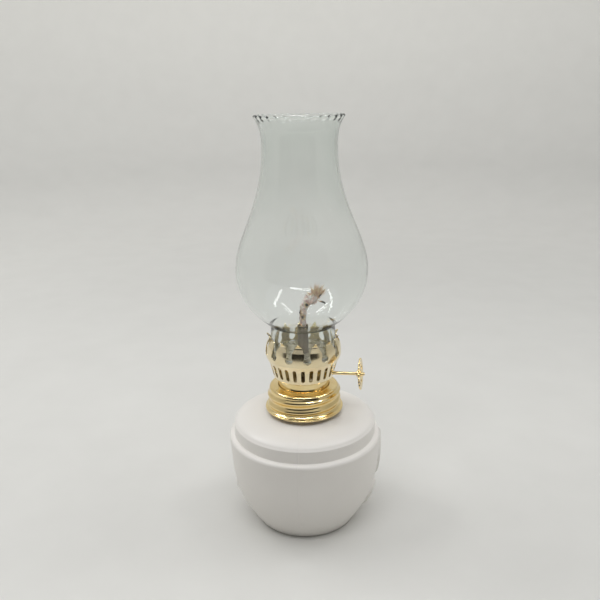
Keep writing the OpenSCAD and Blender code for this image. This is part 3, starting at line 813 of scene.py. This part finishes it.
print("wick is", round(wick_length, 1), "mm along its bend")

# %% [markdown]
# Eight strands make the braid, half of them winding each way, round a thicker core. The curve object's
# own round section gives them thickness, and each of its points has a radius of its own. The braid
# loosens near its end.

# %% Braid the strands
rng = random.Random(7)
strand_count = 8
strand_pitch = 11.0
strand_step = 0.8
strand_r = 0.56
core_r = 1.05
braid_r = 1.22
weave_h = 0.16
loose_length = 7
looseness = 0.35
cord = bpy.data.curves.new("wick_strands", "CURVE")
cord.dimensions = "3D"
cord.bevel_depth = 1.0 * mm
cord.bevel_resolution = 1
cord.use_fill_caps = True


def add_strand(points, radii):
    spline = cord.splines.new("POLY")
    spline.points.add(len(points) - 1)
    for point, place, radius in zip(spline.points, points, radii):
        point.co = (*(place * mm), 1)
        point.radius = radius


steps = np.arange(0, wick_length, strand_step)
loosen = [1 + looseness * smooth_step((s - wick_length + loose_length) / loose_length) for s in steps]
for strand in range(strand_count):
    way = 1 if strand % 2 else -1
    turns = [way * math.tau * (s / strand_pitch) + strand * math.tau / strand_count for s in steps]
    reach = [braid_r + weave_h * way * math.cos(strand_count // 2 * turn) for turn in turns]
    add_strand([wick_place(s, r * l, turn) for s, r, l, turn in zip(steps, reach, loosen, turns)],
               [strand_r] * len(steps))
add_strand([wick_place(s, 0, 0) for s in steps], [core_r] * len(steps))
print(len(cord.splines), "strands with the core")

# %% [markdown]
# The wick ends in a wad of loose yarn. Each yarn starts near the wad's middle, goes out in a direction
# left to chance, bows to one side and thins to nothing. All chance comes from one seeded source, so
# the wad is the same each time.

# %% Ball up the loose yarn
yarn_count = 80
yarn_bow = 1.6
yarn_half_waves = 1.2
yarn_radii = [0.42, 0.46, 0.44, 0.38, 0.3, 0.2, 0.08]
yarn_places = np.linspace(0.3, 1, len(yarn_radii))
yarn_bows = [yarn_bow * math.sin(math.pi * t * yarn_half_waves) for t in yarn_places]
wad = Vector((4.2, 0, 115.1))
for yarn in range(yarn_count):
    out = Vector((rng.gauss(0, 1.5), rng.gauss(0, 1), rng.gauss(0, 0.85))).normalized()
    curl = out.cross(Vector((rng.gauss(0, 1), rng.gauss(0, 1), rng.gauss(0, 1)))).normalized()
    reach = rng.uniform(2.2, 3.7)
    points = [wad + out * reach * t + curl * bow for t, bow in zip(yarn_places, yarn_bows)]
    add_strand(points, yarn_radii)
print(yarn_count, "yarns in the wad")

# %% [markdown]
# Stiff toasted fibres stand out of the wad in locks, as a fan. A lock has one lean, one bow and one
# length, and its fibres differ from it only a little, because they come from one yarn.

# %% Fan out the stiff fibres
lock_count = 18
lock_fibres = 7
fibre_radii = [0.12, 0.11, 0.1, 0.08, 0.03]
fibre_places = np.linspace(0, 1, len(fibre_radii))
fan_root = Vector((6.4, 0, 115.6))
for lock in range(lock_count):
    lean = math.radians(rng.uniform(-12, 52))
    tilt = math.radians(rng.gauss(0, 16))
    bow = Vector((rng.uniform(-0.6, 0.6), rng.uniform(-0.4, 0.4), 0))
    reach = rng.uniform(6.6, 8.3) - 1.2 * math.sin(abs(lean))
    for fibre in range(lock_fibres):
        root = fan_root + Vector((rng.gauss(0, 0.7), rng.gauss(0, 0.6), rng.gauss(0, 0.4)))
        spread = lean + math.radians(rng.gauss(0, 2.5))
        level = math.cos(tilt)
        way = Vector((math.sin(spread) * level, math.sin(tilt), math.cos(spread) * level))
        length = reach * rng.uniform(0.65, 1.0)
        points = [root + way * length * t + bow * t * t for t in fibre_places]
        add_strand(points, fibre_radii)
print(lock_count * lock_fibres, "fibres in the fan")

# %% [markdown]
# Short fluff stands off the last few millimetres of the braid. It starts so high that it stays above
# the tube when the wick is wound right down. One burned thread hangs out beyond the wad.

# %% Add the fluff and the burned thread
fluff_count = 46
fluff_low = wick_length - 7
fluff_high = wick_length - 2
fluff_root_r = 1.5
fluff_radii = [0.05, 0.045, 0.04, 0.02]
fluff_places = np.linspace(0, 1, len(fluff_radii))
for fluff in range(fluff_count):
    along = rng.uniform(fluff_low, fluff_high)
    turn = rng.uniform(0, math.tau)
    root = wick_place(along, fluff_root_r, turn)
    out = (wick_place(along, fluff_root_r + 1, turn) - root) + Vector((0, 0, rng.uniform(-0.4, 0.8)))
    points = [root + out * rng.uniform(0.9, 1.1) * t for t in fluff_places]
    add_strand(points, fluff_radii)
thread_places = [(7.0, -1.4, 115.2), (8.6, -1.7, 114.6), (10.0, -1.6, 114.3), (11.2, -1.7, 113.6)]
add_strand([Vector(place) for place in thread_places], [0.2, 0.3, 0.46, 0.3])
print(len(cord.splines), "strands, yarns and fibres in all")

# %% [markdown]
# The curves become one mesh, and each of its points is given its scorch: black in a few places where
# the flame sat, brown around them, with noise to break their edges. The fan is toasted in streaks that
# run out from a point below it. A spot's three numbers are its place in X and Z and its radius.

# %% Turn the strands into a mesh and scorch them
spot_heat = 1.35
ragged_h = 0.5
ragged_scale = 1.3
fan_streaks = 26
fan_depth = 3
toast_z = 116.8
toast_fade = 1.6
least_toast = 0.06
streak_toast = 0.26
scorched_spots = [(-1.7, 108.7, 1.3), (-1.6, 110.6, 0.7), (0.2, 106.3, 0.9), (2.3, 112.4, 1.0),
                  (8.8, 116.8, 1.1), (8.3, 113.6, 1.2), (10.4, 113.8, 1.8), (-2.0, 102.6, 0.9)]
cord_object = bpy.data.objects.new("wick_strands", cord)
bpy.context.scene.collection.objects.link(cord_object)
drawn = bpy.data.meshes.new_from_object(cord_object.evaluated_get(bpy.context.evaluated_depsgraph_get()))
wick_mesh = bmesh.new()
wick_mesh.from_mesh(drawn)
bmesh.ops.recalc_face_normals(wick_mesh, faces=wick_mesh.faces)
bpy.data.objects.remove(cord_object)
bpy.data.meshes.remove(drawn)
layer = wick_mesh.verts.layers.float.new("scorch")
for vert in wick_mesh.verts:
    x, y, z = vert.co / mm
    ragged = ragged_h * noise.noise(Vector((x, y, z)) * ragged_scale)
    burn = max(spot_heat - math.hypot(x - spot_x, z - spot_z) / spot_r - max(0, y) + ragged
               for spot_x, spot_z, spot_r in scorched_spots)
    fan_turn = math.atan2(x - fan_root.x, z - fan_root.z + fan_depth)
    streak = 0.5 + 0.5 * math.sin(fan_streaks * fan_turn + 2 * y)
    toast = (least_toast + streak_toast * streak) * smooth_step((z - toast_z) / toast_fade)
    vert[layer] = min(1, max(toast, burn))
make_piece(wick_mesh, "wick_cord", cotton, "wick", ["wick"], sharp=80)

# %% [markdown]
# ## Clear glass
# The chimney is blown in a mould from cheap soda glass, which is faintly green in its thickness. Glass
# needs both of its faces in the mesh, because light bends as it enters and as it leaves. The green
# could be a tint of the surface, but then thin and thick walls would look alike, so it is absorbed
# inside the wall. The slow waves of a blown wall are a very low bump.

# %% Mix the glass
wave_h = 0.6 * mm
green_density = 150
glass, tree, shader = new_finish("chimney_glass", Transmission_Weight=1.0, IOR=1.48)
waves = noise_on(tree, mapped(tree), 38, 1)
paint(tree, shader, "Base Color", waves, [(0.3, (0.985, 0.995, 0.99)), (0.7, (1.0, 1.0, 1.0))])
paint(tree, shader, "Roughness", noise_on(tree, mapped(tree), 90), [(0.3, 0.0), (0.8, 0.025)])
tree.links.new(bump(tree, waves, wave_h, 0.06), shader.inputs["Normal"])
depth = add_node(tree, "ShaderNodeVolumeAbsorption",
                 {"Color": (0.66, 0.76, 0.71, 1), "Density": green_density})
tree.links.new(depth.outputs["Volume"], tree.nodes["Material Output"].inputs["Volume"])
print("glass ready")

# %% [markdown]
# ## The chimney
# The chimney is a straight fitter, a bulb, a throat and a flared mouth. Its wall is one closed line,
# spun. A solidified skin would be equally thick all over, but blown glass thins where it swells. So
# the inner line is drawn too, from a thickness for each height.

# %% Draw the chimney's wall
seat_z = 88.2
chimney_top_z = 200.0
fitter_r = 15.6
fitter_top_z = 103.0
bulb_r = 31.05
bulb_z = 129.5
bulb_top_z = 150.0
throat_r = 17.1
throat_z = 186.0
mouth_r = 20.6
glass_t = 1.3
bulb_t = 0.7
rim_in = 0.35
rim_middle_r = mouth_r - rim_in - glass_t / 2
low_rise = bulb_z - fitter_top_z
high_rise = throat_z - bulb_z
mouth_rise = chimney_top_z - throat_z

glass_side = (
    line((fitter_r, seat_z + 0.7), (fitter_r, fitter_top_z - 0.4), 6)
    + bezier((fitter_r + 0.1, fitter_top_z), (fitter_r + 7.2, fitter_top_z + low_rise * 0.195),
             (bulb_r, bulb_z - low_rise * 0.5), (bulb_r, bulb_z), 30)
    + bezier((bulb_r, bulb_z + 0.8), (bulb_r, bulb_z + high_rise * 0.29),
             (throat_r, throat_z - high_rise * 0.46), (throat_r, throat_z), 34)
    + bezier((throat_r, throat_z + 0.5), (throat_r, throat_z + mouth_rise * 0.37),
             (mouth_r - 3.0, chimney_top_z - 0.9 - mouth_rise * 0.25),
             (mouth_r - rim_in, chimney_top_z - 1.2), 22))
wall_places = [(seat_z, glass_t), (fitter_top_z - 2, glass_t), (fitter_top_z + 5, bulb_t),
               (bulb_top_z, bulb_t), (throat_z, glass_t), (chimney_top_z, glass_t)]
wall_z, wall_t = np.array(wall_places).T
inner_side = [(r - np.interp(z, wall_z, wall_t), z) for r, z in glass_side[::-1]]
rim = arc((rim_middle_r, chimney_top_z - 1.15), glass_t / 2, 10, 170, 9)
seat = arc((fitter_r - glass_t / 2, seat_z + 0.65), glass_t / 2, 190, 350, 7)
chimney_wall = glass_side + rim + inner_side + seat
print("chimney wall has", len(chimney_wall), "points")

# %% [markdown]
# While the rim is hot it is pressed between toothed wheels, which leaves a ring of small beads. So the
# points near the rim are pushed out, in and up in a wave that goes round with the angle and fades out
# a little below the rim.

# %% Spin the chimney and crimp its rim
crimps = 28
crimp_low_z = chimney_top_z - 2.6
crimp_fade = 1.9
swell_low_z = chimney_top_z - 2.2
bead_swell = 0.38
bead_pinch = 0.12
bead_lift = 0.38
bead_drop = 0.02
chimney_mesh = lathe(chimney_wall, crimps * 12, closed=True)
for vert in chimney_mesh.verts:
    x, y, z = vert.co / mm
    radius = math.hypot(x, y)
    near_rim = smooth_step((z - crimp_low_z) / crimp_fade)
    bead = 0.5 + 0.5 * math.cos(crimps * math.atan2(y, x))
    if z > swell_low_z:
        push_out(vert, radius, (radius - rim_middle_r) * near_rim * (bead_swell * bead - bead_pinch))
    vert.co.z += near_rim * (bead_lift * bead - bead_drop) * mm
make_piece(chimney_mesh, "glass_chimney", glass, "chimney", ["chimney"], sharp=60)

# %% [markdown]
# ## Parts that keep the solid model's shape
# The plates, the wick tube, the bracket, the shaft, the spur wheel and the washer are plain pressed or
# turned parts, mostly hidden inside the burner. Their solid models are already right, so they only
# get finishes. Rubber is dark, dry and slightly dusty.

# %% Finish the plain parts
rubber, tree, shader = new_finish("washer_rubber", IOR=1.5)
dust = noise_on(tree, mapped(tree), 300, 4)
paint(tree, shader, "Base Color", dust, [(0.35, (0.02, 0.02, 0.02)), (0.75, (0.055, 0.052, 0.05))])
paint(tree, shader, "Roughness", dust, [(0.3, 0.55), (0.7, 0.8)])

plain_finishes = {"neck_gasket": rubber, "tube_plate": pale, "draught_plate": dull, "wick_tube": smoked,
                  "winder_bracket": pale, "spur_wheel": dull, "winder_shaft": polished}
for name, finish in plain_finishes.items():
    nodes[name].data.materials.clear()
    nodes[name].data.materials.append(finish)
print("finished", ", ".join(plain_finishes))

# %% [markdown]
# ## The light tent
# The lamp was photographed on a pale sheet inside a light tent: light comes from everywhere, most of
# it from above. The cloth looks brightest far behind the lamp and darker towards its sides. More lamps
# could do that, but they would also light the lamp. So the paper glows a little more with its distance
# from the lamp, and only for rays from the camera, from a mirror or through glass.

# %% Mix the tent's paper
tent_turn = math.radians(8.4)
side_fade = -0.2
glow_reach = {"From Min": 0.3, "From Max": 1.2}
glow_stops = [(0.0, 0.015), (0.17, 0.038), (0.45, 0.125), (0.6, 0.13), (0.72, 0.105), (0.87, 0.185),
              (1.0, 0.285)]
paper, tree, shader = new_finish("tent_paper", Roughness=0.9, Emission_Color=(1.0, 0.985, 0.93, 1))
fibres = noise_on(tree, mapped(tree), 30, 3)
paint(tree, shader, "Base Color", fibres, [(0.3, (0.648, 0.641, 0.612)), (0.7, (0.668, 0.661, 0.632))])
path = add_node(tree, "ShaderNodeLightPath").outputs
mirrored = calculate(tree, "MAXIMUM", path["Is Glossy Ray"], path["Is Transmission Ray"])
seen = calculate(tree, "MAXIMUM", path["Is Camera Ray"], mirrored)
tent_place = mapped(tree, turn=(0, 0, -tent_turn))
away = add_node(tree, "ShaderNodeVectorMath", operation="LENGTH")
tree.links.new(tent_place, away.inputs[0])
distance = add_node(tree, "ShaderNodeMapRange", glow_reach)
tree.links.new(away.outputs["Value"], distance.inputs["Value"])
glow = ramp(tree, distance.outputs["Result"], glow_stops)
across = split(tree, tent_place)["X"]
squared = calculate(tree, "MULTIPLY", across, across)
faded = calculate(tree, "MULTIPLY_ADD", squared, side_fade, glow, use_clamp=True)
tree.links.new(calculate(tree, "MULTIPLY", faded, seen), shader.inputs["Emission Strength"])
print("paper ready")

# %% [markdown]
# The sheet is a round floor that sweeps up into a wall on all sides, so there is no corner behind the
# lamp. It is spun like the lamp's own parts, with its faces turned inwards.

# %% Sweep the tent's sheet
tent_r = 1120
tent_h = 900
sweep_r = 420
sweep_line = ([(0, 0), (300, 0), (620, 0)] + arc((tent_r - sweep_r, sweep_r), sweep_r, -90, 0, 16)
              + [(tent_r, tent_h)])
sweep_mesh = lathe(sweep_line, 96)
bmesh.ops.reverse_faces(sweep_mesh, faces=sweep_mesh.faces[:])
sheet_object = add_object(sweep_mesh, "tent_sheet", paper)
print("tent sheet has", len(sheet_object.data.polygons), "faces")

# %% [markdown]
# The opening for the camera is dark, and polished brass and glass show it as a dark band. So a dark
# card stands behind the camera: the camera doesn't see it, and glass seen from the back of the lamp
# stays clear. Mirrors show it, and it also keeps some of the tent's light off the lamp's front, which
# shades the bowl's front. Its sides and top fade out, because the opening's edges are soft.

# %% Stand a dark card in the opening
card_half_w = 0.72
card_h = 0.5
card_y = -0.44
black, tree, shader = new_finish("dark_opening", Base_Color=(0.02, 0.02, 0.02, 1), Roughness=1.0)
inward = split(tree, mapped(tree, scale=(1 / card_half_w, 1, 1 / card_h)))
edge = calculate(tree, "MAXIMUM", calculate(tree, "ABSOLUTE", inward["X"]), inward["Z"])
paint(tree, shader, "Alpha", edge, [(0.7, 1.0), (1.0, 0.0)])
card_mesh = bmesh.new()
bmesh.ops.create_grid(card_mesh, x_segments=1, y_segments=1, size=0.5)
upright = (Matrix.Translation((0, card_y, card_h / 2)) @ Matrix.Rotation(math.pi / 2, 4, "X")
           @ Matrix.Diagonal((2 * card_half_w, card_h, 1, 1)))
bmesh.ops.transform(card_mesh, verts=card_mesh.verts, matrix=upright)
card = add_object(card_mesh, "tent_opening", black)
# The card stays visible to diffuse rays, so it shades the front of the lamp as well as darkening its
# reflections.
card.visible_camera = False
card.visible_shadow = False
card.visible_transmission = False
print("tent built")

# %% [markdown]
# ## Light
# The tent's cloth lights the lamp evenly, which is the world's light, and a frame of lamp strips hangs
# inside its top. One big lamp could light it as well, but the strips also give the bright lines in
# the glass and the soft shadow under the bowl.

# %% Light the tent
cloth_strength = 0.63
strip_z = 0.72
strip_w = 0.03
world = bpy.data.worlds.new("tent_light")
bpy.context.scene.world = world
world.use_nodes = True
cloth = world.node_tree.nodes["Background"]
cloth.inputs["Color"].default_value = (0.97, 0.985, 1.0, 1)
cloth.inputs["Strength"].default_value = cloth_strength


def hang_strip(name, x, y, length, watts, turn=0):
    data = bpy.data.lights.new(name, "AREA")
    data.shape = "RECTANGLE"
    data.size = length
    data.size_y = strip_w
    data.energy = watts
    strip = bpy.data.objects.new(name, data)
    strip.location = (x, y, strip_z)
    strip.rotation_euler = (0, 0, turn)
    strip.visible_camera = False
    bpy.context.scene.collection.objects.link(strip)
    return strip


strips = [hang_strip("strip_front", 0.02, -0.35, 0.6, 1.35),
          hang_strip("strip_back", -0.06, 0.1, 0.8, 1.0),
          hang_strip("strip_left", -0.56, 0.04, 0.56, 1.9, math.pi / 2),
          hang_strip("strip_right", 0.47, 0.04, 0.5, 1.1, math.pi / 2)]
print(len(strips), "strips hung")

# %% [markdown]
# ## Camera
# The camera looks down on the lamp from a little to its right. Its distance comes from how much wider
# the near rims look than the far ones, and its small roll from the lean of the lamp's axis.

# %% Place the camera
camera_place = (0.0433, -0.3006, 0.2095)
azimuth = math.radians(8.41)
pitch = math.radians(90 - 17.39)
roll = math.radians(-1.1)
camera_data = bpy.data.cameras.new("camera")
camera_data.sensor_width = 36
camera_data.lens = 40.0
camera = bpy.data.objects.new("camera", camera_data)
camera.matrix_world = (Matrix.Translation(camera_place) @ Matrix.Rotation(azimuth, 4, "Z")
                       @ Matrix.Rotation(pitch, 4, "X") @ Matrix.Rotation(roll, 4, "Z"))
bpy.context.scene.collection.objects.link(camera)
bpy.context.scene.camera = camera
bpy.context.scene.view_settings.view_transform = "Standard"
print("camera at", tuple(round(v, 3) for v in camera.location))
